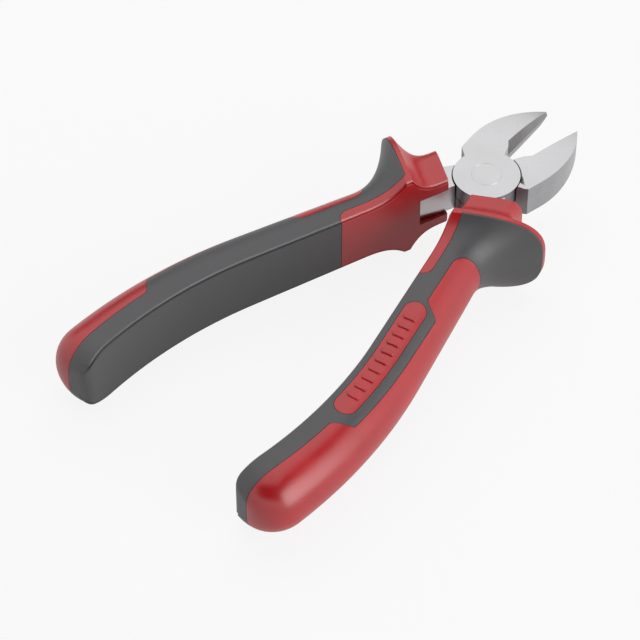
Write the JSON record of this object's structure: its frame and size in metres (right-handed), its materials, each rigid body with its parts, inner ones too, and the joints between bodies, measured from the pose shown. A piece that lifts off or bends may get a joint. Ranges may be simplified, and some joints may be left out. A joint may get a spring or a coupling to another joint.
{
  "type": "side cutters",
  "caption": "Side cutters with a riveted lap joint, curved ground jaws, and bent two-colour grips with a flared finger guard.",
  "frame": {"origin": "on the pivot axis, in the flat back face of the joint", "axes": "+Y from the pivot to the jaw tips, half way between the two jaws; +Z along the pivot axis, out of the front face"},
  "size_m": [0.0826, 0.1549, 0.0262],
  "materials": {
    "lever_steel": "ground and polished",
    "rivet_steel": "ground flush with the joint",
    "red_plastic": "satin moulded red",
    "grey_rubber": "matt dark grey soft grip"
  },
  "bodies": {
    "front_half": {"lever_front": "lever_steel", "pivot_rivet": "rivet_steel", "grip_core_front": "red_plastic", "grip_cover_front": "grey_rubber"},
    "back_half": {"lever_back": "lever_steel", "grip_core_back": "red_plastic", "grip_cover_back": "grey_rubber"}
  },
  "joints": [
    {"name": "pivot", "type": "hinge", "parent": "front_half", "child": "back_half", "pos_m": [0, 0, 0.0047], "axis": [0, 0, 1], "range_deg": [-20, 18]}
  ]
}
